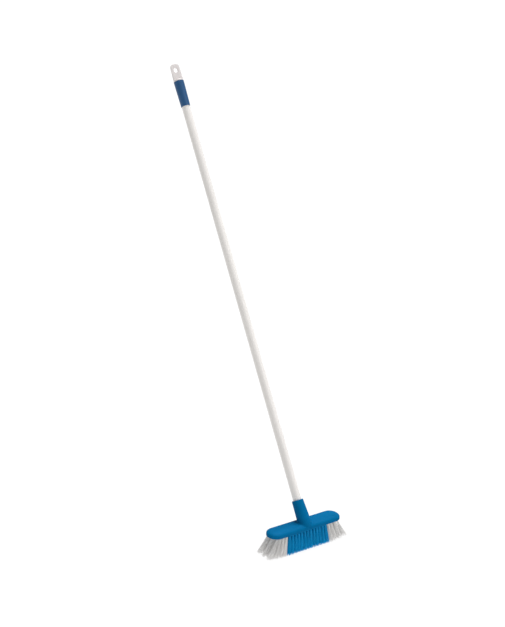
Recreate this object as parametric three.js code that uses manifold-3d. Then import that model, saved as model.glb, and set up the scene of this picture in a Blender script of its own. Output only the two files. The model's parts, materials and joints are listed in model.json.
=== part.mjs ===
// A long-handled wall brush: a moulded head with splayed tufts, and a tube handle that screws into it.
// Millimetres, +Z up. The origin is the centre of the bristle tips' footprint, X runs along the head,
// and the handle leans back towards +Y.
import * as THREE from "three";
import { mergeVertices } from "three/addons/utils/BufferGeometryUtils.js";
import Module from "manifold-3d";

const wasm = await Module();
wasm.setup();

// Head: a bar with a crowned top
const HEAD_LENGTH = 219;
const HEAD_WIDTH = 50;
const HEAD_CORNER_R = 24;
const HEAD_SIDE = 5.5; // height of the straight side wall
const HEAD_CROWN = 7.5; // height of the crown above it
const CROWN_INSET = 13; // how far the crown curves in from the side wall
const BRISTLE_LENGTH = 52;

// Tufts: five rows, every second row shifted by half a pitch
const TUFT_PITCH = 18.6;
const ROW_PITCH = 9;
const ROWS = [-2, -1, 0, 1, 2];
const LONG_ROW = 5; // tufts on each side of the middle one
const BLUE_HALF_WIDTH = 60;
const HOLE_R = 3;
const HOLE_DEPTH = 8;
const TUFT_ROOT_R = 2.6;
const TUFT_TIP_R = 6.2;
const END_TIP_GROWTH = 2; // extra tip radius of the outermost tufts
const END_FLARE = 25; // how far the outermost tips stand out past their roots
const FILAMENT_LENGTH = 53.5; // before the tips that reach the floor are trimmed level
const SIDE_FLARE = 1.12; // tips' spread across the head over their roots' spread
const TUFT_SIDES = 8;

// Handle axis: leans back from the head's normal and passes through the middle of the head's top
const LEAN = THREE.MathUtils.degToRad(30);
const HEAD_TOP = BRISTLE_LENGTH + HEAD_SIDE + HEAD_CROWN;

// Socket on the head, measured along the handle axis from the head's top
const SOCKET_RIM = 56;
const SOCKET_RIM_R = 14.6;
const SOCKET_BASE_R = 17.2;
const SOCKET_FOOT_R = 20.5;
const SOCKET_FORWARD = 3.5; // how far the socket's foot stands forward of the handle axis
const SOCKET_SETBACK = 0.5; // how far the socket's foot is cut back from the head's front edge
const COUNTERBORE_R = 11.5;
const LEDGE = 46; // floor of the counterbore, where the thread starts
const BORE_END = 16;
const RIM_CHAMFER = 1;

// Coarse right-hand handle thread
const THREAD_PITCH = 5;
const THREAD_ROOT_R = 8.8;
const THREAD_CREST_R = 10.4;
const THREAD_ROOT_HALF = 1.6; // half the ridge's width at its root
const THREAD_CREST_HALF = 0.9;
const THREAD_BOTTOM = 17.5;
const THREAD_TOP = 45.5;
const THREAD_CLEARANCE = 0.4;
const THREAD_STEPS = 20; // steps in one turn
const RUN_OUT = 10; // steps over which a thread fades in or out

// Handle
const TUBE_R = 11;
const TUBE_WALL = 0.5;
const TUBE_BOTTOM = 48.6;
const TUBE_TOP = 1168;
const SHOULDER_R = 10.9;
const SHOULDER_BOTTOM = 46.3;
const SPIGOT_LENGTH = 26;
const FIT_GAP = 0.3;

// Grip sleeve over the tube's top end
const GRIP_BOTTOM = 1108;
const GRIP_TOP = 1177;
const GRIP_BOTTOM_R = 12.2;
const GRIP_TOP_R = 13.5;
const GRIP_ROOF = 8.5; // thickness of the wall over the tube's end
const STEM_HOLE_R = 6.4;
const GROOVE_BELOW_TOP = 8;
const GROOVE_DEPTH = 0.6;

// Hanger: a tab with a hole on a swivelling stem
const HANGER_TOP = 1225;
const HANGER_FOOT_R = 13.2;
const HANGER_FOOT_HEIGHT = 3;
const TAB_BOTTOM_WIDTH = 26;
const TAB_TOP_WIDTH = 23.4;
const TAB_TOP_CORNER_R = 8.5;
const TAB_THICKNESS = 7;
const TAB_BEVEL = 1.2;
const TAB_TURN = THREE.MathUtils.degToRad(18); // its face is turned a little towards -X
const HOLE_BELOW_TOP = 17;
const HANG_HOLE_R = 5;
const HANG_HOLE_STRAIGHT = 1.5; // half the straight stretch between the hole's round ends
const STEM_R = 6;
const BARB_R = 7.4;
const BARB_LENGTH = 3.4;

const ROUND_SIDES = 32;

const BLUE = new THREE.MeshStandardMaterial({ color: 0x0a74b6, roughness: 0.42, metalness: 0 });
const BLUE_BRISTLE = new THREE.MeshStandardMaterial({ color: 0x056ba0, roughness: 0.6, metalness: 0 });
const WHITE_BRISTLE = new THREE.MeshStandardMaterial({ color: 0xe6e5e2, roughness: 0.6, metalness: 0 });
const COATED_TUBE = new THREE.MeshStandardMaterial({ color: 0xece7e2, roughness: 0.35, metalness: 0 });
const NAVY = new THREE.MeshStandardMaterial({ color: 0x2b4f82, roughness: 0.5, metalness: 0 });
const WHITE_PLASTIC = new THREE.MeshStandardMaterial({ color: 0xebe6e4, roughness: 0.4, metalness: 0 });
const GREY_PLASTIC = new THREE.MeshStandardMaterial({ color: 0x8a8f94, roughness: 0.6, metalness: 0 });

const brush = new THREE.Group();
const handleAxis = new THREE.Group();
handleAxis.position.z = HEAD_TOP;
handleAxis.rotation.x = -LEAN;
brush.add(handleAxis);
handleAxis.updateMatrixWorld(true);

function solid(geometry) {
  const plain = geometry.index ? geometry.toNonIndexed() : geometry.clone();
  plain.deleteAttribute("normal");
  plain.deleteAttribute("uv");
  const merged = mergeVertices(plain, 1e-4);
  return new wasm.Manifold(
    new wasm.Mesh({
      numProp: 3,
      vertProperties: merged.attributes.position.array,
      triVerts: new Uint32Array(merged.index.array),
    }),
  );
}

function geometryOf(body) {
  const mesh = body.getMesh();
  const geometry = new THREE.BufferGeometry();
  geometry.setAttribute("position", new THREE.BufferAttribute(mesh.vertProperties, 3));
  geometry.setIndex(new THREE.BufferAttribute(mesh.triVerts, 1));
  geometry.computeVertexNormals();
  return geometry;
}

function add(parent, name, geometry, material) {
  const mesh = new THREE.Mesh(geometry, material);
  mesh.name = name;
  parent.add(mesh);
  return mesh;
}

// A body turned about Z from [radius, height] points, listed so that the outside runs upwards
function turned(profile, sides = ROUND_SIDES) {
  const points = profile.map(([r, z]) => new THREE.Vector2(r, z));
  return new THREE.LatheGeometry(points, sides).rotateX(Math.PI / 2);
}

// A closed body through rings of points; each ring runs anticlockwise seen from the next one
function loft(rings) {
  const sides = rings[0].length;
  const last = rings.length - 1;
  const positions = rings.flat().flatMap((p) => [p.x, p.y, p.z]);
  const index = [];
  const at = (ring, side) => ring * sides + (side % sides);
  for (let ring = 0; ring < last; ring++) {
    for (let side = 0; side < sides; side++) {
      index.push(at(ring, side), at(ring, side + 1), at(ring + 1, side + 1));
      index.push(at(ring, side), at(ring + 1, side + 1), at(ring + 1, side));
    }
  }
  for (const end of [0, last]) {
    const middle = new THREE.Vector3();
    rings[end].forEach((p) => middle.addScaledVector(p, 1 / sides));
    const centre = positions.length / 3;
    positions.push(middle.x, middle.y, middle.z);
    for (let side = 0; side < sides; side++) {
      const [a, b] = [at(end, side), at(end, side + 1)];
      index.push(centre, ...(end === 0 ? [b, a] : [a, b]));
    }
  }
  const geometry = new THREE.BufferGeometry();
  geometry.setAttribute("position", new THREE.Float32BufferAttribute(positions, 3));
  geometry.setIndex(index);
  return geometry;
}

function levelRing(x, y, z, r, sides) {
  return Array.from({ length: sides }, (_, i) => {
    const angle = (2 * Math.PI * (i + 0.5)) / sides;
    return new THREE.Vector3(x + r * Math.cos(angle), y + r * Math.sin(angle), z);
  });
}

// ---- tufts ----

const endShare = (x) => (x / (TUFT_PITCH * LONG_ROW)) ** 3;

// A splayed tuft is no longer than the others, so its tip ends above the floor
function tipHeight(x) {
  const reach = Math.sqrt(FILAMENT_LENGTH ** 2 - (END_FLARE * endShare(x)) ** 2);
  return Math.max(0, BRISTLE_LENGTH - reach);
}

// Where a tuft's middle line is at height z: straight from its tip through its hole
function tuftMiddle(x, y, z) {
  const out = (BRISTLE_LENGTH - z) / (BRISTLE_LENGTH - tipHeight(x));
  return [x + END_FLARE * endShare(x) * out, y + y * (SIDE_FLARE - 1) * out];
}

function tuftSites() {
  const sites = [];
  for (const row of ROWS) {
    const shifted = row % 2 !== 0;
    const count = shifted ? 2 * LONG_ROW : 2 * LONG_ROW + 1;
    for (let i = 0; i < count; i++) {
      const x = (i - (count - 1) / 2) * TUFT_PITCH;
      sites.push({ row, i, x, y: row * ROW_PITCH });
    }
  }
  return sites;
}

function tuftRing({ x, y }, z, r) {
  const [cx, cy] = tuftMiddle(x, y, z);
  return levelRing(cx, cy, z, r, TUFT_SIDES);
}

function tuft(site) {
  const tipR = TUFT_TIP_R + END_TIP_GROWTH * Math.abs(endShare(site.x));
  return loft([
    tuftRing(site, tipHeight(site.x), tipR),
    tuftRing(site, BRISTLE_LENGTH, TUFT_ROOT_R),
    tuftRing(site, BRISTLE_LENGTH + HOLE_DEPTH - FIT_GAP, TUFT_ROOT_R),
  ]);
}

function tuftHole(site) {
  return loft([
    tuftRing(site, BRISTLE_LENGTH - 1, HOLE_R),
    tuftRing(site, BRISTLE_LENGTH + HOLE_DEPTH, HOLE_R),
  ]);
}

// ---- thread ----

// A helical ridge about Z; reach is how far its flanks stand out past the plain ridge's
function threadRidge(from, to, crestR, reach) {
  const innerR = THREAD_ROOT_R - THREAD_CLEARANCE;
  const first = Math.round((from / THREAD_PITCH) * THREAD_STEPS);
  const last = Math.round((to / THREAD_PITCH) * THREAD_STEPS);
  const rings = [];
  for (let step = first; step <= last; step++) {
    const angle = (2 * Math.PI * step) / THREAD_STEPS;
    const z = (THREAD_PITCH * step) / THREAD_STEPS;
    const fade = Math.min(1, (step - first) / RUN_OUT, (last - step) / RUN_OUT);
    const outerR = innerR + (crestR - innerR) * Math.max(fade, 0.1);
    const point = (r, dz) => new THREE.Vector3(r * Math.cos(angle), r * Math.sin(angle), z + dz);
    rings.push([
      point(innerR, -THREAD_ROOT_HALF - reach),
      point(innerR, THREAD_ROOT_HALF + reach),
      point(outerR, THREAD_CREST_HALF + reach),
      point(outerR, -THREAD_CREST_HALF - reach),
    ]);
  }
  return loft(rings);
}

// ---- head ----

function headBar() {
  const halfLength = HEAD_LENGTH / 2 - CROWN_INSET;
  const halfWidth = HEAD_WIDTH / 2 - CROWN_INSET;
  const corner = HEAD_CORNER_R - CROWN_INSET;
  const outline = new THREE.Shape();
  outline.moveTo(-halfLength + corner, -halfWidth);
  outline.lineTo(halfLength - corner, -halfWidth);
  outline.absarc(halfLength - corner, -halfWidth + corner, corner, -Math.PI / 2, 0);
  outline.lineTo(halfLength, halfWidth - corner);
  outline.absarc(halfLength - corner, halfWidth - corner, corner, 0, Math.PI / 2);
  outline.lineTo(-halfLength + corner, halfWidth);
  outline.absarc(-halfLength + corner, halfWidth - corner, corner, Math.PI / 2, Math.PI);
  outline.lineTo(-halfLength, -halfWidth + corner);
  outline.absarc(-halfLength + corner, -halfWidth + corner, corner, Math.PI, 1.5 * Math.PI);
  const bar = new THREE.ExtrudeGeometry(outline, {
    depth: HEAD_SIDE,
    bevelThickness: HEAD_CROWN,
    bevelSize: CROWN_INSET,
    bevelSegments: 5,
    curveSegments: 6,
  });
  const below = new THREE.BoxGeometry(2 * HEAD_LENGTH, 2 * HEAD_WIDTH, HEAD_CROWN * 2);
  below.translate(0, 0, -HEAD_CROWN);
  return solid(bar).subtract(solid(below)).translate([0, 0, BRISTLE_LENGTH]);
}

// A ring of the socket's wall; level 0 is square to the handle axis and 1 is parallel to the head
function socketRing(along, r, level) {
  const forward = SOCKET_FORWARD * (1 - Math.max(along, 0) / SOCKET_RIM);
  return Array.from({ length: ROUND_SIDES }, (_, i) => {
    const angle = (2 * Math.PI * i) / ROUND_SIDES;
    const back = r * Math.sin(angle) - forward;
    return new THREE.Vector3(r * Math.cos(angle), back, along + level * back * Math.tan(LEAN));
  });
}

function socketBody() {
  return loft([
    socketRing(-8, SOCKET_FOOT_R, 1),
    socketRing(-1.5, SOCKET_FOOT_R, 1),
    socketRing(1, SOCKET_FOOT_R - 2.3, 1),
    socketRing(4, SOCKET_BASE_R + 0.7, 0.9),
    socketRing(9, SOCKET_BASE_R, 0.65),
    socketRing(24, SOCKET_BASE_R - 1, 0.2),
    socketRing(38, SOCKET_BASE_R - 1.8, 0),
    socketRing(SOCKET_RIM - RIM_CHAMFER, SOCKET_RIM_R, 0),
    socketRing(SOCKET_RIM, SOCKET_RIM_R - RIM_CHAMFER, 0),
  ]);
}

function socketBore() {
  const boreR = THREAD_ROOT_R + THREAD_CLEARANCE;
  const bore = turned([
    [0, BORE_END],
    [boreR, BORE_END],
    [boreR, LEDGE],
    [COUNTERBORE_R, LEDGE],
    [COUNTERBORE_R, SOCKET_RIM - RIM_CHAMFER],
    [COUNTERBORE_R + 2 * RIM_CHAMFER, SOCKET_RIM + RIM_CHAMFER],
    [0, SOCKET_RIM + RIM_CHAMFER],
  ]);
  const crestR = THREAD_CREST_R + 1.25 * THREAD_CLEARANCE;
  const groove = threadRidge(THREAD_BOTTOM + 1, LEDGE + THREAD_PITCH, crestR, THREAD_CLEARANCE);
  return solid(bore).add(solid(groove));
}

// Everything in front of the plane that the socket's foot is cut back to
function inFront() {
  const size = 2 * HEAD_LENGTH;
  const box = new THREE.BoxGeometry(size, size, size);
  return solid(box).translate([0, SOCKET_SETBACK - HEAD_WIDTH / 2 - size / 2, 0]);
}

function headBlock() {
  const place = (body) => body.transform(handleAxis.matrixWorld.elements);
  const socket = place(solid(socketBody())).subtract(inFront());
  let head = headBar().add(socket).subtract(place(socketBore()));
  for (const site of tuftSites()) head = head.subtract(solid(tuftHole(site)));
  return geometryOf(head);
}

// ---- handle ----

function handleTube() {
  const bore = TUBE_R - TUBE_WALL;
  return turned([
    [bore, TUBE_BOTTOM],
    [TUBE_R, TUBE_BOTTOM],
    [TUBE_R, TUBE_TOP],
    [bore, TUBE_TOP],
    [bore, TUBE_BOTTOM],
  ]);
}

function threadInsert() {
  const spigotR = TUBE_R - TUBE_WALL - FIT_GAP;
  const shoulderTop = TUBE_BOTTOM - FIT_GAP;
  const core = turned([
    [0, THREAD_BOTTOM],
    [THREAD_ROOT_R - 1.5, THREAD_BOTTOM],
    [THREAD_ROOT_R, THREAD_BOTTOM + 1.5],
    [THREAD_ROOT_R, SHOULDER_BOTTOM],
    [SHOULDER_R, SHOULDER_BOTTOM],
    [SHOULDER_R, shoulderTop],
    [spigotR, shoulderTop],
    [spigotR, shoulderTop + SPIGOT_LENGTH - 1],
    [spigotR - 1, shoulderTop + SPIGOT_LENGTH],
    [0, shoulderTop + SPIGOT_LENGTH],
  ]);
  const ridge = threadRidge(THREAD_BOTTOM + 2.5, THREAD_TOP - 2, THREAD_CREST_R, 0);
  return geometryOf(solid(core).add(solid(ridge)));
}

function gripSleeve() {
  const bore = TUBE_R + FIT_GAP;
  const radiusAt = (z) =>
    GRIP_BOTTOM_R + ((GRIP_TOP_R - GRIP_BOTTOM_R) * (z - GRIP_BOTTOM)) / (GRIP_TOP - GRIP_BOTTOM);
  const groove = GRIP_TOP - GROOVE_BELOW_TOP;
  const roofBottom = GRIP_TOP - GRIP_ROOF;
  return turned([
    [bore, GRIP_BOTTOM],
    [GRIP_BOTTOM_R - 0.5, GRIP_BOTTOM],
    [radiusAt(GRIP_BOTTOM + 0.8), GRIP_BOTTOM + 0.8],
    [radiusAt(groove - 1), groove - 1],
    [radiusAt(groove) - GROOVE_DEPTH, groove],
    [radiusAt(groove + 1), groove + 1],
    [GRIP_TOP_R, GRIP_TOP - 1],
    [GRIP_TOP_R - 1, GRIP_TOP],
    [STEM_HOLE_R, GRIP_TOP],
    [STEM_HOLE_R, roofBottom],
    [bore, roofBottom],
    [bore, GRIP_BOTTOM],
  ]);
}

// ---- hanger ----

function tabOutline(bottom, top) {
  const low = TAB_BOTTOM_WIDTH / 2 - TAB_BEVEL;
  const high = TAB_TOP_WIDTH / 2 - TAB_BEVEL;
  const corner = TAB_TOP_CORNER_R;
  const outline = new THREE.Shape();
  outline.moveTo(-low, bottom);
  outline.lineTo(low, bottom);
  outline.lineTo(high, top - corner);
  outline.absarc(high - corner, top - corner, corner, 0, Math.PI / 2);
  outline.lineTo(-high + corner, top);
  outline.absarc(-high + corner, top - corner, corner, Math.PI / 2, Math.PI);
  return outline;
}

function hangingHole(middle) {
  const r = HANG_HOLE_R + TAB_BEVEL;
  const hole = new THREE.Path();
  hole.absarc(0, middle + HANG_HOLE_STRAIGHT, r, 0, Math.PI);
  hole.absarc(0, middle - HANG_HOLE_STRAIGHT, r, Math.PI, 2 * Math.PI);
  return hole;
}

function hanger() {
  const footBottom = GRIP_TOP + FIT_GAP;
  const roofBottom = GRIP_TOP - GRIP_ROOF;
  const outline = tabOutline(footBottom + TAB_BEVEL + 0.4, HANGER_TOP - TAB_BEVEL);
  outline.holes.push(hangingHole(HANGER_TOP - HOLE_BELOW_TOP));
  const tab = new THREE.ExtrudeGeometry(outline, {
    depth: TAB_THICKNESS - 2 * TAB_BEVEL,
    bevelThickness: TAB_BEVEL,
    bevelSize: TAB_BEVEL,
    bevelSegments: 2,
    curveSegments: 8,
  });
  tab.translate(0, 0, TAB_BEVEL - TAB_THICKNESS / 2);
  tab.rotateX(Math.PI / 2);
  tab.rotateZ(-TAB_TURN);
  const barbTop = roofBottom - FIT_GAP;
  const foot = turned([
    [0, barbTop - BARB_LENGTH],
    [STEM_R - 1, barbTop - BARB_LENGTH],
    [BARB_R, barbTop - 0.8],
    [BARB_R, barbTop],
    [STEM_R, barbTop],
    [STEM_R, footBottom],
    [HANGER_FOOT_R - 0.6, footBottom],
    [HANGER_FOOT_R, footBottom + 0.6],
    [HANGER_FOOT_R, footBottom + HANGER_FOOT_HEIGHT - 1],
    [HANGER_FOOT_R - 1.5, footBottom + HANGER_FOOT_HEIGHT + 1],
    [HANGER_FOOT_R - 6, footBottom + HANGER_FOOT_HEIGHT + 4],
    [0, footBottom + HANGER_FOOT_HEIGHT + 5],
  ]);
  return geometryOf(solid(tab).add(solid(foot)));
}

// ---- the whole brush ----

add(brush, "head_block", headBlock(), BLUE);
for (const site of tuftSites()) {
  const blue = Math.abs(site.x) < BLUE_HALF_WIDTH;
  const name = `${blue ? "blue" : "white"}_tuft_${site.row + ROWS.length - 2}_${site.i + 1}`;
  add(brush, name, tuft(site), blue ? BLUE_BRISTLE : WHITE_BRISTLE);
}
add(handleAxis, "thread_insert", threadInsert(), GREY_PLASTIC);
add(handleAxis, "handle_tube", handleTube(), COATED_TUBE);
add(handleAxis, "grip_sleeve", gripSleeve(), NAVY);
add(handleAxis, "hanger", hanger(), WHITE_PLASTIC);

export default brush;
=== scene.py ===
"""Looks for a long-handled wall brush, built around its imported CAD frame.

Metres, +Z up. The head lies along X with its bristle tips on the floor, and the handle leans back
towards +Y. The handle's pieces are built in handle coordinates, with Z along the handle's axis and
zero where that axis meets the head's top.
"""

import json
import math

import bpy
import numpy as np
from mathutils import Matrix, Quaternion, Vector


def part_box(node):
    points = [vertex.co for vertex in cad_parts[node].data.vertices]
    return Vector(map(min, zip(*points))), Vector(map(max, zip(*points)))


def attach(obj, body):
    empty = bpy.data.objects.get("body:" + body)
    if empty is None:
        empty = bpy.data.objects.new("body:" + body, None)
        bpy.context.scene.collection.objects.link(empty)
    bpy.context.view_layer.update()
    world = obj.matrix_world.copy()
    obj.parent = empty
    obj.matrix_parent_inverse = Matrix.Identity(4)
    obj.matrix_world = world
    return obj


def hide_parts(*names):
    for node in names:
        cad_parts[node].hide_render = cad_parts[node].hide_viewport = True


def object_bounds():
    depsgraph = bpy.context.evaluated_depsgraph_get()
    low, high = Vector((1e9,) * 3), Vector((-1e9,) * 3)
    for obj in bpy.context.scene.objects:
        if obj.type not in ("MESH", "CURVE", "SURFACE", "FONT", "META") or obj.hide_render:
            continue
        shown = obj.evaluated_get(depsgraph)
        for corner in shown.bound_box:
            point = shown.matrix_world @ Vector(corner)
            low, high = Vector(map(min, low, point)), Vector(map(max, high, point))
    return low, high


MM = 0.001

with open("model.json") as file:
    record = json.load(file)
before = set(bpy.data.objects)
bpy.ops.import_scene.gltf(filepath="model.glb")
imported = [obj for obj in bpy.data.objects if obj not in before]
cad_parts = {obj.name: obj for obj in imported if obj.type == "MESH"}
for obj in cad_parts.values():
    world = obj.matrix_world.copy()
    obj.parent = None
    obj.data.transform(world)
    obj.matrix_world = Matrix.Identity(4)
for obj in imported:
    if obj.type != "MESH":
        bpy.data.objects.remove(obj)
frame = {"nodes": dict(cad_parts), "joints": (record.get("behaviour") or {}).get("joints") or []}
cad_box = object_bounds()
rng = np.random.default_rng(41)

# ---- places taken from the frame ----

hinge = next(j for j in frame["joints"] if j["name"] == "handle_screw")
UP_HANDLE = Vector(hinge["axis"]).normalized()
ON_AXIS = Vector(hinge["pos_m"])
# The axis crosses y = 0 at the head's top.
FOOT = ON_AXIS - UP_HANDLE * (ON_AXIS.y / UP_HANDLE.y)
ACROSS = Vector((1, 0, 0))
BEHIND = UP_HANDLE.cross(ACROSS)
HANDLE = Matrix.Translation(FOOT) @ Matrix((ACROSS, BEHIND, UP_HANDLE)).transposed().to_4x4()


def node_points(node, place=Matrix.Identity(4)):
    """A CAD node's corners in the coordinates of place."""
    to_place = place.inverted()
    return np.array([to_place @ v.co for v in frame["nodes"][node].data.vertices])


def span(node):
    """A handle node's bottom, top and largest radius, in handle coordinates."""
    points = node_points(node, HANDLE)
    return points[:, 2].min(), points[:, 2].max(), np.hypot(points[:, 0], points[:, 1]).max()


head_low, head_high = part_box("head_block")
HEAD_HALF_LENGTH = head_high.x
HEAD_HALF_WIDTH = -head_low.y
HEAD_BOTTOM = head_low.z
HEAD_TOP = FOOT.z
HEAD_SIDE = 5.5 * MM
HEAD_CORNER = 24 * MM
CROWN_INSET = 13 * MM
TUFT_NODES = sorted(n for n in frame["nodes"] if "_tuft_" in n)

TUBE_BOTTOM, TUBE_TOP, TUBE_R = span("handle_tube")
INSERT_BOTTOM, INSERT_TOP, _ = span("thread_insert")
GRIP_BOTTOM, GRIP_TOP, GRIP_R = span("grip_sleeve")
HANGER_BOTTOM, HANGER_TOP, HANGER_R = span("hanger")

# ---- camera ----

CAMERA_TARGET = Vector((0.0447, 0.2995, 0.5227))
CAMERA_YAW = math.radians(36.15)
CAMERA_PITCH = math.radians(18.4)
CAMERA_ROLL = math.radians(1.4)
CAMERA_DISTANCE = 3.6
CAMERA_LENS = 79.9
SENSOR_WIDTH = 36


def add_camera():
    camera = bpy.data.objects.new("camera", bpy.data.cameras.new("camera"))
    bpy.context.scene.collection.objects.link(camera)
    level = math.cos(CAMERA_PITCH)
    back = Vector(
        (-math.sin(CAMERA_YAW) * level, -math.cos(CAMERA_YAW) * level, math.sin(CAMERA_PITCH))
    )
    camera.location = CAMERA_TARGET + back * CAMERA_DISTANCE
    camera.rotation_mode = "QUATERNION"
    camera.rotation_quaternion = back.to_track_quat("Z", "Y") @ Quaternion((0, 0, 1), CAMERA_ROLL)
    camera.data.lens = CAMERA_LENS
    camera.data.sensor_width = SENSOR_WIDTH
    bpy.context.scene.camera = camera


# ---- materials ----

HEAD_BLUE = (0.0, 0.133, 0.315)
GRIP_NAVY = (0.012, 0.085, 0.222)
HANGER_WHITE = (0.8, 0.755, 0.745)
TUBE_WHITE = (0.91, 0.88, 0.85)
INSERT_GREY = (0.27, 0.285, 0.3)
WIRE_GREY = (0.55, 0.56, 0.58)
# the blue root colour is painted shade: darker than the tip where the head shades the roots
BLUE_SHADED_ROOT = (0.0, 0.27, 0.6)
BLUE_TIP = (0.0, 0.4, 0.78)
BLUE_CUT = (0.0, 0.43, 0.82)
# painted light: the blue filaments' emission, though they are no lamp
BLUE_PAINTED_GLOW = 0.04
# the white root colour is painted shade: darker than the tip where the head shades the roots
WHITE_SHADED_ROOT = (0.85, 0.84, 0.82)
WHITE_TIP = (0.95, 0.94, 0.93)
WHITE_CUT = (0.97, 0.96, 0.95)
# painted light: the white filaments' emission, though they are no lamp
WHITE_PAINTED_GLOW = 0.05

# moulded plastic: slow flow marks, scuffs in the gloss and the grain of the mould
FLOW_SCALE = 14
FLOW_DEPTH = 0.12 * MM
SCUFF_SCALE = 90
SCUFF_CHANGE = 0.06
GRAIN_SCALE = 2200

# bristles: each filament mixes in up to MOST_DARK of a colour DARK_SHADE as bright, and from
# CUT_START of its length on, up to MOST_CUT of the colour of its cut end
BRISTLE_ROUGHNESS = 0.36
CUT_ROUGHNESS = 0.6
DARK_SHADE = 0.6
MOST_DARK = 0.5
CUT_START = 0.93
MOST_CUT = 0.35

# a colour mix node's sockets, by number because their names repeat
MIX_FACTOR, MIX_FIRST, MIX_SECOND, MIX_RESULT = 0, 6, 7, 2



def new_material(name, colour, roughness, **sockets):
    """A plain Principled material and its shader, with uniform values on the shader's sockets."""
    material = bpy.data.materials.new(name)
    material.use_nodes = True
    shader = material.node_tree.nodes["Principled BSDF"]
    shader.inputs["Base Color"].default_value = (*colour, 1)
    shader.inputs["Roughness"].default_value = roughness
    for socket, value in sockets.items():
        shader.inputs[socket.replace("_", " ")].default_value = value
    return material, shader


def add_node(material, kind, **settings):
    node = material.node_tree.nodes.new(kind)
    for key, value in settings.items():
        setattr(node, key, value)
    return node


def link(material, output, socket):
    material.node_tree.links.new(output, socket)


def place_coordinates(material, scale=(1, 1, 1)):
    """Object coordinates, stretched by scale."""
    source = add_node(material, "ShaderNodeTexCoord")
    mapping = add_node(material, "ShaderNodeMapping")
    mapping.inputs["Scale"].default_value = scale
    link(material, source.outputs["Object"], mapping.inputs["Vector"])
    return mapping.outputs["Vector"]


def noise_value(material, where, scale, detail, rough=0.5):
    texture = add_node(material, "ShaderNodeTexNoise")
    texture.inputs["Scale"].default_value = scale
    texture.inputs["Detail"].default_value = detail
    texture.inputs["Roughness"].default_value = rough
    link(material, where, texture.inputs["Vector"])
    return texture.outputs["Fac"]


def ranged(material, value, low, high, start=0.3, end=0.7):
    """value from start..end mapped to low..high."""
    node = add_node(material, "ShaderNodeMapRange")
    node.inputs["From Min"].default_value = start
    node.inputs["From Max"].default_value = end
    node.inputs["To Min"].default_value = low
    node.inputs["To Max"].default_value = high
    link(material, value, node.inputs["Value"])
    return node.outputs["Result"]


def mixed_colour(material, factor, first, second):
    """first where factor is 0, second where it is 1; each is a colour or a node's output."""
    node = add_node(material, "ShaderNodeMix", data_type="RGBA")
    link(material, factor, node.inputs[MIX_FACTOR])
    for index, colour in ((MIX_FIRST, first), (MIX_SECOND, second)):
        if isinstance(colour, tuple):
            node.inputs[index].default_value = (*colour, 1)
        else:
            link(material, colour, node.inputs[index])
    return node.outputs[MIX_RESULT]


def bump(material, shader, height, distance, strength, under=None):
    """Bumps the shader's surface by height, on top of the bumped normal under if there is one."""
    node = add_node(material, "ShaderNodeBump")
    node.inputs["Distance"].default_value = distance
    node.inputs["Strength"].default_value = strength
    link(material, height, node.inputs["Height"])
    if under is not None:
        link(material, under, node.inputs["Normal"])
    link(material, node.outputs["Normal"], shader.inputs["Normal"])
    return node.outputs["Normal"]


def moulded_plastic(name, colour, roughness, grain, tint=0.08, **sockets):
    """Moulded plastic: spark-eroded grain, slow flow marks in the colour, scuffs in the gloss."""
    material, shader = new_material(name, colour, roughness, **sockets)
    where = place_coordinates(material)
    flow = noise_value(material, place_coordinates(material, (1, 3, 3)), FLOW_SCALE, 4)
    darker = tuple(c * (1 - tint) for c in colour)
    lighter = tuple(min(1, c * (1 + tint) + 0.01 * tint) for c in colour)
    spread = ranged(material, flow, 0, 1)
    link(material, mixed_colour(material, spread, darker, lighter), shader.inputs["Base Color"])
    scuff = noise_value(material, where, SCUFF_SCALE, 5, 0.65)
    gloss = ranged(material, scuff, roughness - SCUFF_CHANGE, roughness + SCUFF_CHANGE)
    link(material, gloss, shader.inputs["Roughness"])
    fine = noise_value(material, where, GRAIN_SCALE, 2)
    under = bump(material, shader, fine, grain, 0.6)
    bump(material, shader, flow, FLOW_DEPTH, 0.4, under)
    return material


def bristle_material(name, root, tip, cut, painted_glow):
    """Extruded monofilament: each has its own shade, is darker towards its root as painted shade
    where the head shades it, and is duller and paler at its cut tip.

    A faint painted light, emission from filaments that are no lamp, stands in for the light that
    passes through the filaments and bounces between them.
    """
    material, shader = new_material(name, tip, 0.5, Specular_IOR_Level=0.12)
    # painted light: the filaments emit their tip colour though they are no lamp
    shader.inputs["Emission Color"].default_value = (*tip, 1)
    shader.inputs["Emission Strength"].default_value = painted_glow
    along = add_node(material, "ShaderNodeAttribute", attribute_name="along")
    shade = add_node(material, "ShaderNodeAttribute", attribute_name="shade")
    # painted shade: each filament darkens from its tip towards its root, where the head shades it
    base = mixed_colour(material, along.outputs["Fac"], root, tip)
    dark = tuple(c * DARK_SHADE for c in tip)
    darkness = ranged(material, shade.outputs["Fac"], 0, MOST_DARK, start=0, end=1)
    toned = mixed_colour(material, darkness, base, dark)
    end = ranged(material, along.outputs["Fac"], 0, MOST_CUT, start=CUT_START, end=1)
    link(material, mixed_colour(material, end, toned, cut), shader.inputs["Base Color"])
    gloss = ranged(
        material, along.outputs["Fac"], BRISTLE_ROUGHNESS, CUT_ROUGHNESS, start=0.5, end=1
    )
    link(material, gloss, shader.inputs["Roughness"])
    draw = noise_value(material, place_coordinates(material, (1, 1, 0.05)), 6000, 1)
    bump(material, shader, draw, 0.01 * MM, 0.3)
    return material


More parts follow.
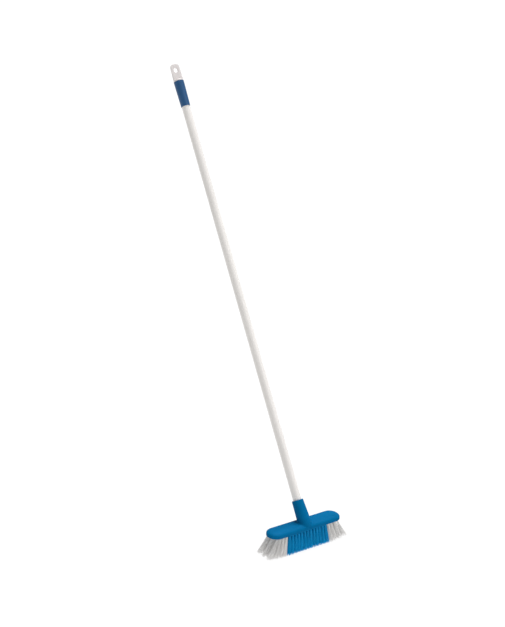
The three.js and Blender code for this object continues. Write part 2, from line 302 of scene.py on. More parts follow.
def coated_tube_material():
    """A thin white plastic coat shrunk over steel: smooth, glossy and faintly drawn lengthwise."""
    material, shader = new_material(
        "tube_coating",
        TUBE_WHITE,
        0.3,
        Coat_Weight=0.1,
        Coat_Roughness=0.15,
        Specular_IOR_Level=0.3,
    )
    drawn = noise_value(material, place_coordinates(material, (1, 1, 0.012)), 900, 3)
    slow = noise_value(material, place_coordinates(material, (1, 1, 0.3)), 25, 3)
    darker = tuple(c * 0.95 for c in TUBE_WHITE)
    spread = ranged(material, slow, 0, 1)
    link(material, mixed_colour(material, spread, darker, TUBE_WHITE), shader.inputs["Base Color"])
    scuff = noise_value(material, place_coordinates(material, (1, 1, 0.2)), 220, 5, 0.7)
    link(material, ranged(material, scuff, 0.24, 0.42), shader.inputs["Roughness"])
    under = bump(material, shader, drawn, 0.02 * MM, 0.5)
    bump(material, shader, slow, 0.15 * MM, 0.3, under)
    return material


def wire_material():
    """Drawn flat wire: bright, with fine lengthwise lines."""
    material, shader = new_material("anchor_wire", WIRE_GREY, 0.3, Metallic=1.0)
    lines = noise_value(material, place_coordinates(material, (0.05, 1, 1)), 5000, 2)
    link(material, ranged(material, lines, 0.22, 0.45), shader.inputs["Roughness"])
    bump(material, shader, lines, 0.01 * MM, 0.4)
    return material


head_plastic = moulded_plastic("head_plastic", HEAD_BLUE, 0.5, 0.03 * MM, Specular_IOR_Level=0.02)
blue_bristle = bristle_material("centre_bristles", BLUE_SHADED_ROOT, BLUE_TIP, BLUE_CUT, BLUE_PAINTED_GLOW)
white_bristle = bristle_material("end_bristles", WHITE_SHADED_ROOT, WHITE_TIP, WHITE_CUT, WHITE_PAINTED_GLOW)
tube_coating = coated_tube_material()
insert_plastic = moulded_plastic("insert_plastic", INSERT_GREY, 0.5, 0.03 * MM)
grip_plastic = moulded_plastic("grip_plastic", GRIP_NAVY, 0.45, 0.05 * MM)
hanger_plastic = moulded_plastic("hanger_plastic", HANGER_WHITE, 0.36, 0.02 * MM, tint=0.03)
anchor_wire = wire_material()


# ---- mesh helpers ----

TURNED_SIDES = 96

# a thread's ridge: its steps per turn, how it fades at its ends, and how its crest is rounded
RIDGE_STEPS = 64
RIDGE_FADE_TURNS = 0.5
RIDGE_LEAST = 0.08
RIDGE_SOFTNESS = 0.35
RIDGE_FLARE = 0.25
RIDGE_TOP = 0.6


def add_object(name, points, faces, material=None):
    mesh = bpy.data.meshes.new(name)
    mesh.from_pydata([tuple(p) for p in points], [], faces)
    mesh.update()
    if material:
        mesh.materials.append(material)
    piece = bpy.data.objects.new(name, mesh)
    bpy.context.scene.collection.objects.link(piece)
    return piece


def loft(name, rings, loop=False):
    """A closed body through rings of points: a loop, or capped at its first and last ring."""
    count = len(rings[0])
    points = [p for level in rings for p in level]
    pairs = list(zip(range(len(rings)), range(1, len(rings))))
    if loop:
        pairs.append((len(rings) - 1, 0))
    faces = [
        (a * count + i, a * count + (i + 1) % count, b * count + (i + 1) % count, b * count + i)
        for a, b in pairs
        for i in range(count)
    ]
    if not loop:
        faces.append(tuple(reversed(range(count))))
        faces.append(tuple(range((len(rings) - 1) * count, len(rings) * count)))
    return add_object(name, points, faces)


def ring(radius, height, sides):
    angles = [2 * math.pi * i / sides for i in range(sides)]
    return [Vector((radius * math.cos(a), radius * math.sin(a), height)) for a in angles]


def rounded(outline, steps=5, closed=True):
    """A 2-D outline of (u, v, radius) corners with each corner rounded to its radius."""
    result = []
    for i, (u, v, radius) in enumerate(outline):
        here = Vector((u, v))
        inner = closed or 0 < i < len(outline) - 1
        before = Vector(outline[i - 1][:2]) - here
        after = Vector(outline[(i + 1) % len(outline)][:2]) - here
        if not inner or radius == 0:
            result.append(here)
            continue
        half = before.angle(after) / 2
        reach = radius / math.tan(half)
        start = here + before.normalized() * reach
        end = here + after.normalized() * reach
        inwards = (before.normalized() + after.normalized()).normalized()
        middle = here + inwards * (radius / math.sin(half))
        arm = start - middle
        turn = arm.angle_signed(end - middle)
        for step in range(steps + 1):
            angle = -turn * step / steps
            cos, sin = math.cos(angle), math.sin(angle)
            result.append(middle + Vector((arm.x * cos - arm.y * sin, arm.x * sin + arm.y * cos)))
    return result


def turned(name, profile, sides=TURNED_SIDES):
    """A ring-shaped body turned about Z from a closed (radius, height) outline, outside upwards."""
    return loft(name, [ring(p.x, p.y, sides) for p in profile], loop=True)


def turned_solid(name, profile):
    """A solid body turned about Z from an open outline, flat at its first and last points."""
    return loft(name, [ring(p.x, p.y, TURNED_SIDES) for p in profile])


def combine(piece, other, operation):
    """Boolean of piece with other, which is used up."""
    modifier = piece.modifiers.new("combine", "BOOLEAN")
    modifier.operation = operation
    modifier.solver = "EXACT"
    modifier.object = other
    graph = bpy.context.evaluated_depsgraph_get()
    made = bpy.data.meshes.new_from_object(piece.evaluated_get(graph))
    piece.modifiers.clear()
    piece.data = made
    bpy.data.objects.remove(other)
    return piece


def joined(name, pieces):
    """One object from several."""
    with bpy.context.temp_override(active_object=pieces[0], selected_editable_objects=pieces):
        bpy.ops.object.join()
    pieces[0].name = name
    return pieces[0]


def finish_piece(piece, body, material, nodes=(), smooth_angle=35, place=None):
    """Shades a piece, gives it its material and puts it on its body in place of CAD nodes."""
    piece.data.materials.clear()
    piece.data.materials.append(material)
    piece.data.shade_smooth()
    piece.data.set_sharp_from_angle(angle=math.radians(smooth_angle))
    if place is not None:
        piece.matrix_world = place
    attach(piece, body)
    if nodes:
        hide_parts(*nodes)
    return piece


def ridge(name, start, end, pitch, inner, crest, root_half, crest_half):
    """A helical ridge about Z that fades in and out, as one closed body."""
    first = math.ceil(start / pitch * RIDGE_STEPS)
    last = math.floor(end / pitch * RIDGE_STEPS)
    fade = RIDGE_FADE_TURNS * RIDGE_STEPS
    rings = []
    for step in range(first, last + 1):
        angle = 2 * math.pi * step / RIDGE_STEPS
        z = pitch * step / RIDGE_STEPS
        grown = min(1, (step - first) / fade, (last - step) / fade)
        outer = inner + (crest - inner) * max(RIDGE_LEAST, math.sin(grown * math.pi / 2))
        soft = RIDGE_SOFTNESS * (outer - inner)
        flare = RIDGE_FLARE * (root_half - crest_half)
        shape = [
            (inner, -root_half),
            (inner, root_half),
            (outer - soft, crest_half + flare),
            (outer, crest_half * RIDGE_TOP),
            (outer, -crest_half * RIDGE_TOP),
            (outer - soft, -crest_half - flare),
        ]
        cos, sin = math.cos(angle), math.sin(angle)
        rings.append([Vector((r * cos, r * sin, z + dz)) for r, dz in shape])
    return loft(name, rings)


# ---- head ----

SHOULDER = HEAD_BOTTOM + HEAD_SIDE
CROWN = HEAD_TOP - SHOULDER
BAR_EDGE = 1.2 * MM
BAR_EDGE_STEPS = 6
LEAST_CORNER = 0.5 * MM
PARTING_BELOW = 1.5 * MM
PARTING_DEPTH = 0.15 * MM
PARTING_HALF = 0.3 * MM
CORNER_STEPS = 20
STRAIGHT_STEPS = 24
END_STEPS = 4
CROWN_STEPS = 14

SOCKET_RIM = 56 * MM
SOCKET_RIM_R = 14.6 * MM
SOCKET_BASE_R = 17.2 * MM
SOCKET_FORWARD = 3.5 * MM
SOCKET_SETBACK = 0.5 * MM
SOCKET_SIDES = 128

# where the socket's wall runs out onto the crown, and its foot inside the bar
SOCKET_FILLET = 5 * MM
FILLET_STEPS = 8
FILLET_MARGIN = 0.6 * MM
FILLET_SINK = 0.03 * MM
LEAST_OUTWARD = 0.05
ROOT_SHARE = 0.8
ROOT_HEIGHT = 3 * MM
FOOT_DEPTH = 1.5 * MM
SEARCH_REACH = 30 * MM
SEARCH_HALVINGS = 40
WALL_STEPS = 8
SOCKET_EDGE = 0.9 * MM
RIM_STEPS = 5

# the socket's inside, from its mouth down
COUNTERBORE_R = 11.5 * MM
MOUTH_DEPTH = 1.2 * MM
MOUTH_STEP = 0.35 * MM
MOUTH_STEP_DEPTH = 0.45 * MM
MOUTH_FLARE = 1.6 * MM
MOUTH_CLEAR = 0.4 * MM
LEDGE = 46 * MM
LEDGE_BEVEL = 0.6 * MM
BORE_END = 16 * MM
BORE_R = 9.2 * MM
THREAD_PITCH = 5 * MM
THREAD_ROOT_R = 8.8 * MM
THREAD_CREST_R = 10.4 * MM
THREAD_ROOT_HALF = 1.6 * MM
THREAD_CREST_HALF = 0.9 * MM
THREAD_CLEARANCE = 0.4 * MM
CREST_CLEARANCE = THREAD_CLEARANCE * 1.25
GROOVE_START = 1 * MM


def bar_ring(inset, height):
    """The bar's round-ended outline, drawn in by inset. Every ring has as many points."""
    half_x, half_y = HEAD_HALF_LENGTH - inset, HEAD_HALF_WIDTH - inset
    corner = max(HEAD_CORNER - inset, LEAST_CORNER)
    points = []
    centres = ((1, -1), (1, 1), (-1, 1), (-1, -1))
    for quarter, (sx, sy) in enumerate(centres):
        middle = Vector((sx * (half_x - corner), sy * (half_y - corner), height))
        for step in range(CORNER_STEPS + 1):
            angle = math.pi / 2 * (quarter - 1 + step / CORNER_STEPS)
            points.append(middle + Vector((math.cos(angle), math.sin(angle), 0)) * corner)
        following = centres[(quarter + 1) % 4]
        goal = Vector((following[0] * (half_x - corner), following[1] * (half_y - corner), height))
        turn = math.pi / 2 * quarter
        goal += Vector((math.cos(turn), math.sin(turn), 0)) * corner
        count = STRAIGHT_STEPS if quarter % 2 else END_STEPS
        points += [points[-1].lerp(goal, step / count) for step in range(1, count)]
    return points


def head_bar():
    """The bar: a rounded lower edge, a side with its parting line, and a domed crown."""
    rings = []
    for step in range(BAR_EDGE_STEPS + 1):
        angle = math.pi / 2 * step / BAR_EDGE_STEPS
        inset = BAR_EDGE * (1 - math.sin(angle))
        rings.append(bar_ring(inset, HEAD_BOTTOM + BAR_EDGE * (1 - math.cos(angle))))
    parting = SHOULDER - PARTING_BELOW
    rings.append(bar_ring(0, parting - PARTING_HALF))
    rings.append(bar_ring(PARTING_DEPTH, parting - PARTING_HALF / 2))
    rings.append(bar_ring(PARTING_DEPTH, parting + PARTING_HALF / 2))
    rings.append(bar_ring(0, parting + PARTING_HALF))
    for step in range(CROWN_STEPS + 1):
        angle = math.pi / 2 * step / CROWN_STEPS
        inset = CROWN_INSET * (1 - math.cos(angle))
        rings.append(bar_ring(inset, SHOULDER + CROWN * math.sin(angle)))
    return loft("head_block_moulding", rings)


def crown_height(x, y):
    """The bar's upper surface over (x, y)."""
    flat_x = HEAD_HALF_LENGTH - HEAD_CORNER
    flat_y = HEAD_HALF_WIDTH - HEAD_CORNER
    dx, dy = max(abs(x) - flat_x, 0), max(abs(y) - flat_y, 0)
    inset = HEAD_CORNER - math.hypot(dx, dy)
    share = min(max(inset / CROWN_INSET, 0), 1)
    return SHOULDER + CROWN * math.sqrt(max(0, 1 - (1 - share) ** 2))


def socket_wall(angle, along):
    """A point on the socket's wall.

    The wall tapers to its rim. Its foot stands forward of the axis, and stops just short of the
    bar's front.
    """
    share = min(max(along / SOCKET_RIM, 0), 1)
    radius = SOCKET_BASE_R + (SOCKET_RIM_R - SOCKET_BASE_R) * share
    back = radius * math.sin(angle) - SOCKET_FORWARD * (1 - share)
    point = HANDLE @ Vector((radius * math.cos(angle), back, along))
    point.y = max(point.y, SOCKET_SETBACK - HEAD_HALF_WIDTH)
    return point


def wall_meets_crown(angle):
    """How far along the handle's axis the socket's wall meets the crown, on one side of it."""
    low, high = -SEARCH_REACH, SEARCH_REACH
    for _ in range(SEARCH_HALVINGS):
        middle = (low + high) / 2
        point = socket_wall(angle, middle)
        if point.z > crown_height(point.x, point.y):
            high = middle
        else:
            low = middle
    return low


def socket_column(angle):
    """Points up one side of the socket: inside the bar, over the crown, up the wall to the rim."""
    meets = wall_meets_crown(angle)
    foot = socket_wall(angle, meets)
    above = socket_wall(angle, meets + SOCKET_FILLET)
    centre = HANDLE @ Vector((0, -SOCKET_FORWARD, 0))
    outward = (foot - centre).to_2d().normalized()
    room = HEAD_HALF_WIDTH - FILLET_MARGIN - abs(foot.y)
    reach = min(SOCKET_FILLET, room / max(abs(outward.y), LEAST_OUTWARD))
    edge = foot.to_2d() + outward * reach
    over = Vector((*edge, crown_height(*edge) - FILLET_SINK))
    points = [Vector((foot.x * ROOT_SHARE, foot.y * ROOT_SHARE, HEAD_BOTTOM + ROOT_HEIGHT))]
    points.append(over - Vector((0, 0, FOOT_DEPTH)))
    for step in range(FILLET_STEPS + 1):
        t = step / FILLET_STEPS
        points.append(over * (1 - t) ** 2 + foot * 2 * t * (1 - t) + above * t * t)
    start = meets + SOCKET_FILLET
    wall_top = SOCKET_RIM - SOCKET_EDGE
    for step in range(1, WALL_STEPS + 1):
        points.append(socket_wall(angle, start + (wall_top - start) * step / WALL_STEPS))
    for step in range(1, RIM_STEPS + 1):
        turn = math.pi / 2 * step / RIM_STEPS
        radius = SOCKET_RIM_R - SOCKET_EDGE * (1 - math.cos(turn))
        side = Vector((math.cos(angle), math.sin(angle), 0))
        height = wall_top + SOCKET_EDGE * math.sin(turn)
        points.append(HANDLE @ (side * radius + Vector((0, 0, height))))
    return points


def socket_body():
    columns = [socket_column(2 * math.pi * i / SOCKET_SIDES) for i in range(SOCKET_SIDES)]
    return loft("socket", [list(level) for level in zip(*columns)])


def socket_bore():
    """The counterbore for the tube's end, and below it the bore with its thread."""
    outline = [
        Vector((BORE_R, BORE_END)),
        Vector((BORE_R, LEDGE - LEDGE_BEVEL)),
        Vector((BORE_R + LEDGE_BEVEL, LEDGE)),
        Vector((COUNTERBORE_R, LEDGE)),
        Vector((COUNTERBORE_R, SOCKET_RIM - MOUTH_DEPTH)),
        Vector((COUNTERBORE_R + MOUTH_STEP, SOCKET_RIM - MOUTH_STEP_DEPTH)),
        Vector((COUNTERBORE_R + MOUTH_FLARE, SOCKET_RIM + MOUTH_CLEAR)),
    ]
    bore = turned_solid("bore", outline)
    groove = ridge(
        "groove",
        INSERT_BOTTOM + GROOVE_START,
        LEDGE + THREAD_PITCH,
        THREAD_PITCH,
        THREAD_ROOT_R - THREAD_CLEARANCE,
        THREAD_CREST_R + CREST_CLEARANCE,
        THREAD_ROOT_HALF + THREAD_CLEARANCE,
        THREAD_CREST_HALF + THREAD_CLEARANCE,
    )
    bore = combine(bore, groove, "UNION")
    bore.data.transform(HANDLE)
    return bore


# ---- tufts ----

FILAMENTS = 88
FILAMENT_R = 0.27 * MM
FILAMENT_SIDES = 5
FILAMENT_STEPS = 5

# how unevenly the filaments lie and are cut
TURN_JITTER = 0.12
TIP_JITTER = 0.4 * MM
TIP_UNEVENNESS = 0.25 * MM
BOW = 0.5 * MM
WAVE = 0.35 * MM

# a tuft's width at its tip, and how late along its length it fans out
TIP_SPREAD = 1.06
TIP_OVERLAP = 0.62
UPRIGHT_FAN = 0.85
SPLAYED_FAN = 0.9
MOST_SPLAY = 25 * MM

BLUE_HALF_WIDTH = 60 * MM
HOLE_R = 3 * MM
HOLE_FLARE = 1.2 * MM
HOLE_LIP = 0.4 * MM
HOLE_SPARE = 0.3 * MM
HOLE_SIDES = 32
LEVEL_BAND = 0.1 * MM
LEVEL_ONLY = (1, 1, 0)
GOLDEN_TURN = math.pi * (3 - math.sqrt(5))


class Tuft:
    """A tuft's middle line, through its tip, its hole's mouth and its root in the hole."""

    def __init__(self, name, middles, tip_r, root_r, blue, node=None):
        self.name = name
        self.tip, self.mouth, self.root = middles
        self.tip_reach = np.array((tip_r, tip_r, 0)) * TIP_SPREAD
        self.root_r = root_r
        self.blue = blue
        self.node = node


def cad_tuft(node):
    """A tuft as its CAD node has it, read from the node's tip, mouth and root levels."""
    points = node_points(node)
    middles = []
    radii = []
    for height in (points[:, 2].min(), HEAD_BOTTOM, points[:, 2].max()):
        level = points[np.abs(points[:, 2] - height) < LEVEL_BAND]
        middles.append(level.mean(0))
        radii.append(np.linalg.norm(level - middles[-1], axis=1).max())
    return Tuft(f"{node}_bristles", middles, radii[0], radii[2], node.startswith("blue"), node)


def between(first, second):
    """The tuft halfway between two of a row, which the CAD model leaves out."""
    ends = (first.tip, second.tip), (first.mouth, second.mouth), (first.root, second.root)
    middles = [(a + b) / 2 for a, b in ends]
    name = first.name.replace("_bristles", "_next_bristles")
    tip_r = (first.tip_reach[1] + second.tip_reach[1]) / 2 / TIP_SPREAD
    blue = abs(middles[1][0]) < BLUE_HALF_WIDTH
    return Tuft(name, middles, tip_r, first.root_r, blue)


def all_tufts():
    """Every row's tufts and those in between, each wide enough at its tip to meet the next."""
    rows = {}
    for node in TUFT_NODES:
        row = node.split("_")[2]
        rows.setdefault(row, []).append(cad_tuft(node))
    found = []
    for row in sorted(rows):
        tufts = sorted(rows[row], key=lambda tuft: tuft.mouth[0])
        filled = [tufts[0]]
        for first, second in zip(tufts, tufts[1:]):
            filled += [between(first, second), second]
        for first, second in zip(filled, filled[1:]):
            share = TIP_OVERLAP * (second.tip[0] - first.tip[0])
            for tuft in (first, second):
                tuft.tip_reach[0] = max(tuft.tip_reach[0], share)
        found += filled
    return found


def tip_heights(tufts):
    """How high the tufts' tips end, by how far out along the head they are."""
    line = sorted({(round(abs(tuft.tip[0]), 5), round(tuft.tip[2], 5)) for tuft in tufts})
    return np.array(line).T


def tuft_hole(tuft):
    """A cutter for the tuft's hole, which slants with it and opens out at its mouth."""
    slant = (tuft.root - tuft.mouth) / (tuft.root[2] - tuft.mouth[2])
    levels = [
        tuft.mouth - slant * HOLE_FLARE,
        tuft.mouth + slant * HOLE_LIP,
        tuft.root + slant * HOLE_SPARE,
    ]
    radii = [HOLE_R + HOLE_FLARE, HOLE_R, HOLE_R]
    rings = [
        [Vector(level) + p for p in ring(radius, 0, HOLE_SIDES)]
        for level, radius in zip(levels, radii)
    ]
    return loft("hole", rings)


def filament_paths(tuft, heights):
    """Each filament's points from its root in the hole to its cut tip, as an array of paths.

    A tuft fans out evenly from its hole, and a splayed one stays bunched until nearer its tip.
    """
    index = np.arange(FILAMENTS)
    spread = np.sqrt((index + 0.5) / FILAMENTS)
    turn = index * GOLDEN_TURN + rng.normal(0, TURN_JITTER, FILAMENTS)
    arm = np.stack([np.cos(turn), np.sin(turn), np.zeros(FILAMENTS)], 1)
    jitter = rng.normal(0, TIP_JITTER, (FILAMENTS, 3)) * LEVEL_ONLY
    bottom = tuft.mouth + arm * ((tuft.root_r - FILAMENT_R) * spread)[:, None]
    end = tuft.tip + arm * (tuft.tip_reach - FILAMENT_R) * spread[:, None] + jitter
    end[:, 2] = np.interp(np.abs(end[:, 0]), *heights)
    end[:, 2] += np.abs(rng.normal(0, TIP_UNEVENNESS, FILAMENTS))
    low, high = cad_box
    end[:, 0] = np.clip(end[:, 0], low.x + FILAMENT_R, high.x - FILAMENT_R)
    end[:, 1] = np.clip(end[:, 1], low.y + FILAMENT_R, high.y - FILAMENT_R)
    top = bottom + (tuft.root - tuft.mouth)
    bow = arm * rng.normal(0, BOW, FILAMENTS)[:, None]
    bow += rng.normal(0, WAVE, (FILAMENTS, 3)) * LEVEL_ONLY
    outward = (end - bottom) * LEVEL_ONLY
    axis = (tuft.tip - tuft.mouth) * LEVEL_ONLY
    fan = UPRIGHT_FAN + SPLAYED_FAN * abs(axis[0]) / MOST_SPLAY
    paths = [top]
    for step in range(FILAMENT_STEPS + 1):
        t = step / FILAMENT_STEPS
        point = bottom + axis * t + (outward - axis) * t ** fan + bow * math.sin(math.pi * t)
        point[:, 2] = bottom[:, 2] + (end[:, 2] - bottom[:, 2]) * t
        paths.append(point)
    return np.stack(paths, 1)


def tuft_piece(tuft, heights):
    """The tuft's filaments as one piece, each point knowing how far along it is and its shade."""
    paths = filament_paths(tuft, heights)
    levels = paths.shape[1]
    turns = 2 * np.pi * np.arange(FILAMENT_SIDES) / FILAMENT_SIDES
    section = np.stack([np.cos(turns), np.sin(turns), np.zeros(FILAMENT_SIDES)], 1) * FILAMENT_R
    points = (paths[:, :, None, :] + section[None, None]).reshape(-1, 3)
    faces = []
    for filament in range(FILAMENTS):
        base = filament * levels * FILAMENT_SIDES
        for level in range(levels - 1):
            low, high = base + level * FILAMENT_SIDES, base + (level + 1) * FILAMENT_SIDES
            for i in range(FILAMENT_SIDES):
                j = (i + 1) % FILAMENT_SIDES
                faces.append((low + i, high + i, high + j, low + j))
        faces.append(tuple(base + i for i in range(FILAMENT_SIDES)))
        last = base + (levels - 1) * FILAMENT_SIDES
        faces.append(tuple(last + i for i in reversed(range(FILAMENT_SIDES))))
    piece = add_object(tuft.name, points, faces)
    along = np.tile(np.repeat(np.linspace(0, 1, levels), FILAMENT_SIDES), FILAMENTS)
    shade = np.repeat(rng.random(FILAMENTS), levels * FILAMENT_SIDES)
    for name, values in (("along", along), ("shade", shade)):
        layer = piece.data.attributes.new(name, "FLOAT", "POINT")
        layer.data.foreach_set("value", values.astype(np.float32))
    material = blue_bristle if tuft.blue else white_bristle
    nodes = [tuft.node] if tuft.node else []
    return finish_piece(piece, "head", material, nodes, smooth_angle=75)


def anchor_wire_piece(tufts):
    """A short flat wire pressed across the bottom of each tuft's hole."""
    half_length, half_height, half_thick = 2.9 * MM, 0.9 * MM, 0.2 * MM
    corner = 0.3 * MM
    below_root = Vector((0, 0, 1.2 * MM))
    outline = rounded(
        [
            (-half_length, -half_height, corner),
            (half_length, -half_height, corner),
            (half_length, half_height, corner),
            (-half_length, half_height, corner),
        ],
        steps=3,
    )
    wires = []
    for tuft in tufts:
        root = Vector(tuft.root) - below_root
        rings = [
            [root + Vector((p.x, side, p.y)) for p in outline] for side in (half_thick, -half_thick)
        ]
        wires.append(loft("wire", rings))
    return finish_piece(joined("tuft_anchors", wires), "head", anchor_wire)


def head_piece(tufts):
    """The bar with its socket, threaded bore and a hole for every tuft."""
    head = combine(head_bar(), socket_body(), "UNION")
    head = combine(head, socket_bore(), "DIFFERENCE")
    holes = joined("holes", [tuft_hole(tuft) for tuft in tufts])
    head = combine(head, holes, "DIFFERENCE")
    return finish_piece(head, "head", head_plastic, ["head_block"])


# ---- handle ----

TUBE_WALL = 0.5 * MM
GRIP_ROOF = GRIP_TOP - 8.5 * MM


def tube_piece():
    inner = TUBE_R - TUBE_WALL
    edge = 0.2 * MM
    outline = rounded(
        [
            (inner, TUBE_BOTTOM, edge),
            (TUBE_R, TUBE_BOTTOM, edge),
            (TUBE_R, TUBE_TOP, edge),
            (inner, TUBE_TOP, edge),
        ]
    )
    tube = turned("handle_tube_coated", outline)
    return finish_piece(tube, "handle", tube_coating, ["handle_tube"], place=HANDLE)


def insert_piece():
    """The plug in the tube's lower end, with its shoulder and coarse thread."""
    shoulder_r = 10.9 * MM
    shoulder_bottom, shoulder_top = 46.3 * MM, TUBE_BOTTOM - 0.3 * MM
    spigot_r = TUBE_R - TUBE_WALL - 0.3 * MM
    nose_r, nose_length = THREAD_ROOT_R - 1.3 * MM, 1.5 * MM
    thread_bottom, thread_top = INSERT_BOTTOM + 2.5 * MM, 43.5 * MM
    outline = rounded(
        [
            (THREAD_ROOT_R - 2 * MM, INSERT_BOTTOM, 0),
            (nose_r, INSERT_BOTTOM, 0.3 * MM),
            (THREAD_ROOT_R, INSERT_BOTTOM + nose_length, 0.5 * MM),
            (THREAD_ROOT_R, shoulder_bottom, 0.2 * MM),
            (shoulder_r, shoulder_bottom, 0.4 * MM),
            (shoulder_r, shoulder_top, 0.3 * MM),
            (spigot_r, shoulder_top, 0.1 * MM),
            (spigot_r, INSERT_TOP, 1 * MM),
            (spigot_r - 3 * MM, INSERT_TOP, 0),
        ],
        closed=False,
    )
    insert = turned_solid("thread_insert_moulding", outline)
    thread = ridge(
        "thread",
        thread_bottom,
        thread_top,
        THREAD_PITCH,
        THREAD_ROOT_R - THREAD_CLEARANCE,
        THREAD_CREST_R,
        THREAD_ROOT_HALF,
        THREAD_CREST_HALF,
    )
    insert = combine(insert, thread, "UNION")
    return finish_piece(
        insert, "handle", insert_plastic, ["thread_insert"], place=HANDLE
    )


def grip_piece():
    """A tapered sleeve, grooved near its top, with a roof over the tube's end for the stem."""
    bore = TUBE_R + 0.3 * MM
    bottom_r, top_r = 12.2 * MM, GRIP_R
    groove, depth = GRIP_TOP - 8 * MM, 0.6 * MM
    mouth_half, floor_half = 0.9 * MM, 0.35 * MM
    stem_hole = 6.4 * MM
    height = GRIP_TOP - GRIP_BOTTOM

    def wall(z):
        return bottom_r + (top_r - bottom_r) * (z - GRIP_BOTTOM) / height

    outline = rounded(
        [
            (bore, GRIP_BOTTOM, 0.25 * MM),
            (bottom_r, GRIP_BOTTOM, 0.5 * MM),
            (wall(groove - mouth_half), groove - mouth_half, 0.4 * MM),
            (wall(groove) - depth, groove - floor_half, 0.2 * MM),
            (wall(groove) - depth, groove + floor_half, 0.2 * MM),
            (wall(groove + mouth_half), groove + mouth_half, 0.4 * MM),
            (top_r, GRIP_TOP, 1 * MM),
            (stem_hole, GRIP_TOP, 0.3 * MM),
            (stem_hole, GRIP_ROOF, 0.2 * MM),
            (bore, GRIP_ROOF, 0.2 * MM),
        ]
    )
    grip = turned("grip_sleeve_moulding", outline, sides=128)
    return finish_piece(grip, "handle", grip_plastic, ["grip_sleeve"], place=HANDLE)


# ---- hanger ----

# the tab is turned about the handle's axis, and its hole is two half circles drawn apart
TAB_TURN = math.radians(18)
TAB_BOTTOM_WIDTH = 26 * MM
TAB_TOP_WIDTH = 23.4 * MM
TAB_THICKNESS = 7 * MM
TAB_CORNER = 9.5 * MM
TAB_EDGE = 1.6 * MM
EDGE_STEPS = 6
HOLE_BELOW_TOP = 17 * MM
HANG_HOLE_R = 5 * MM
HANG_HOLE_STRAIGHT = 1.5 * MM
HANG_HOLE_STEPS = 24
CUT_MARGIN = 1 * MM


def slab(name, outline, thickness, edge):
    """A plate in the X-Z plane with rounded edges; outline(inset) is it drawn in by inset."""
    rings = []
    half = thickness / 2
    for side in (1, -1):
        for step in range(EDGE_STEPS + 1):
            turn = math.pi / 2 * (step if side == 1 else EDGE_STEPS - step) / EDGE_STEPS
            inset = edge * (1 - math.sin(turn))
            depth = side * (half - edge * (1 - math.cos(turn)))
            rings.append([Vector((p.x, depth, p.y)) for p in outline(inset)])
    return loft(name, rings)


def tab_outline(bottom):
    """The tab's tapered outline from bottom up, as a function of how far it is drawn in."""

    def outline(inset):
        low, high = TAB_BOTTOM_WIDTH / 2 - inset, TAB_TOP_WIDTH / 2 - inset
        corner = TAB_CORNER - inset
        return rounded(
            [
                (-low, bottom + inset, 1 * MM),
                (low, bottom + inset, 1 * MM),
                (high, HANGER_TOP - inset, corner),
                (-high, HANGER_TOP - inset, corner),
            ],
            steps=16,
        )

    return outline


def hole_outline(inset):
    """The hanging hole, which opens out towards both faces."""
    r = HANG_HOLE_R - inset
    middle = HANGER_TOP - HOLE_BELOW_TOP
    points = []
    for start, offset in ((0, HANG_HOLE_STRAIGHT), (math.pi, -HANG_HOLE_STRAIGHT)):
        for step in range(HANG_HOLE_STEPS + 1):
            turn = start + math.pi * step / HANG_HOLE_STEPS
            points.append(Vector((r * math.cos(turn), middle + offset + r * math.sin(turn))))
    return points


def hole_cutter():
    """A waisted plug: narrowest in the middle of the plate, and flared with its edge radius."""
    rings = []
    half = TAB_THICKNESS / 2
    depths = [half + CUT_MARGIN]
    insets = [-TAB_EDGE]
    for step in range(EDGE_STEPS + 1):
        turn = math.pi / 2 * step / EDGE_STEPS
        depths.append(half - TAB_EDGE * math.sin(turn))
        insets.append(-TAB_EDGE * (1 - math.sin(turn)))
    near = list(zip(depths, insets))
    far = [(-depth, inset) for depth, inset in reversed(near)]
    for depth, inset in near + far:
        rings.append([Vector((p.x, depth, p.y)) for p in hole_outline(inset)])
    return loft("hanging_hole", rings)


def hanger_piece():
    """The stem with its snap head under the grip's roof, the foot above it, and the holed tab."""
    foot_bottom = GRIP_TOP + 0.3 * MM
    foot_top = foot_bottom + 3 * MM
    barb_top = GRIP_ROOF - 0.3 * MM
    stem_r = 6 * MM
    barb_r = 7.4 * MM
    outline = rounded(
        [
            (2 * MM, HANGER_BOTTOM, 0),
            (stem_r - 1 * MM, HANGER_BOTTOM, 0.4 * MM),
            (barb_r, barb_top - 0.8 * MM, 0.3 * MM),
            (barb_r, barb_top, 0.2 * MM),
            (stem_r, barb_top, 0.1 * MM),
            (stem_r, foot_bottom, 0.3 * MM),
            (HANGER_R, foot_bottom, 0.5 * MM),
            (HANGER_R, foot_top, 1 * MM),
            (HANGER_R - 5 * MM, foot_top + 3.4 * MM, 3 * MM),
            (2 * MM, foot_top + 4.4 * MM, 0),
        ],
        closed=False,
    )
    foot = turned_solid("hanger_moulding", outline)
    tab = slab("tab", tab_outline(foot_bottom + 0.5 * MM), TAB_THICKNESS, TAB_EDGE)
    tab = combine(tab, hole_cutter(), "DIFFERENCE")
    tab.data.transform(Matrix.Rotation(-TAB_TURN, 4, "Z"))
    hanger = combine(foot, tab, "UNION")
    return finish_piece(
        hanger, "hanger", hanger_plastic, ["hanger"], place=HANDLE
    )


# ---- stage ----

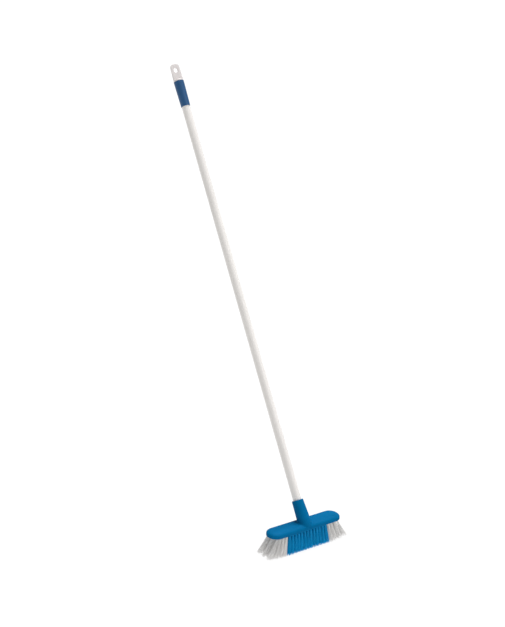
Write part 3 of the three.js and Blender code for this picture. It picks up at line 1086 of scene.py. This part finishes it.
FLOOR_HALF = 60
FLOOR_GREY = (0.1, 0.1, 0.1)
FLOOR_GLOW = 0.93
WORLD_STRENGTH = 0.36
ABOVE, ABOVE_STRENGTH, ABOVE_WIDTH = (0.28, 0.22, 0.94), 2.8, 30
RIGHT, RIGHT_STRENGTH, RIGHT_WIDTH = (0.3, -0.88, 0.35), 0.7, 40


def soft_light(name, towards, strength, width):
    """A distant lamp in the direction towards, width degrees across."""
    light = bpy.data.lights.new(name, "SUN")
    light.energy = strength
    light.angle = math.radians(width)
    lamp = bpy.data.objects.new(name, light)
    bpy.context.scene.collection.objects.link(lamp)
    lamp.rotation_euler = Vector(towards).to_track_quat("Z", "Y").to_euler()


def floor_material():
    """Plain matt studio board, bright enough to stand as white paper."""
    material, shader = new_material("studio_floor", FLOOR_GREY, 0.9, Specular_IOR_Level=0.1)
    shader.inputs["Emission Color"].default_value = (1, 1, 1, 1)
    shader.inputs["Emission Strength"].default_value = FLOOR_GLOW
    fine = noise_value(material, place_coordinates(material), 400, 2)
    bump(material, shader, fine, 0.05 * MM, 0.2)
    return material


def add_stage():
    half = FLOOR_HALF
    corners = [(-half, -half, 0), (half, -half, 0), (half, half, 0), (-half, half, 0)]
    floor = add_object("studio_floor", corners, [(0, 1, 2, 3)], floor_material())
    world = bpy.data.worlds.new("studio")
    bpy.context.scene.world = world
    world.use_nodes = True
    background = world.node_tree.nodes["Background"]
    background.inputs["Color"].default_value = (1, 1, 1, 1)
    background.inputs["Strength"].default_value = WORLD_STRENGTH
    soft_light("from_above", ABOVE, ABOVE_STRENGTH, ABOVE_WIDTH)
    soft_light("from_the_right", RIGHT, RIGHT_STRENGTH, RIGHT_WIDTH)
    bpy.context.scene.view_settings.view_transform = "Standard"


# ---- the whole brush ----

add_camera()
brush_tufts = all_tufts()
head_piece(brush_tufts)
brush_tips = tip_heights(brush_tufts)
for brush_tuft in brush_tufts:
    tuft_piece(brush_tuft, brush_tips)
anchor_wire_piece(brush_tufts)
tube_piece()
insert_piece()
grip_piece()
hanger_piece()
add_stage()
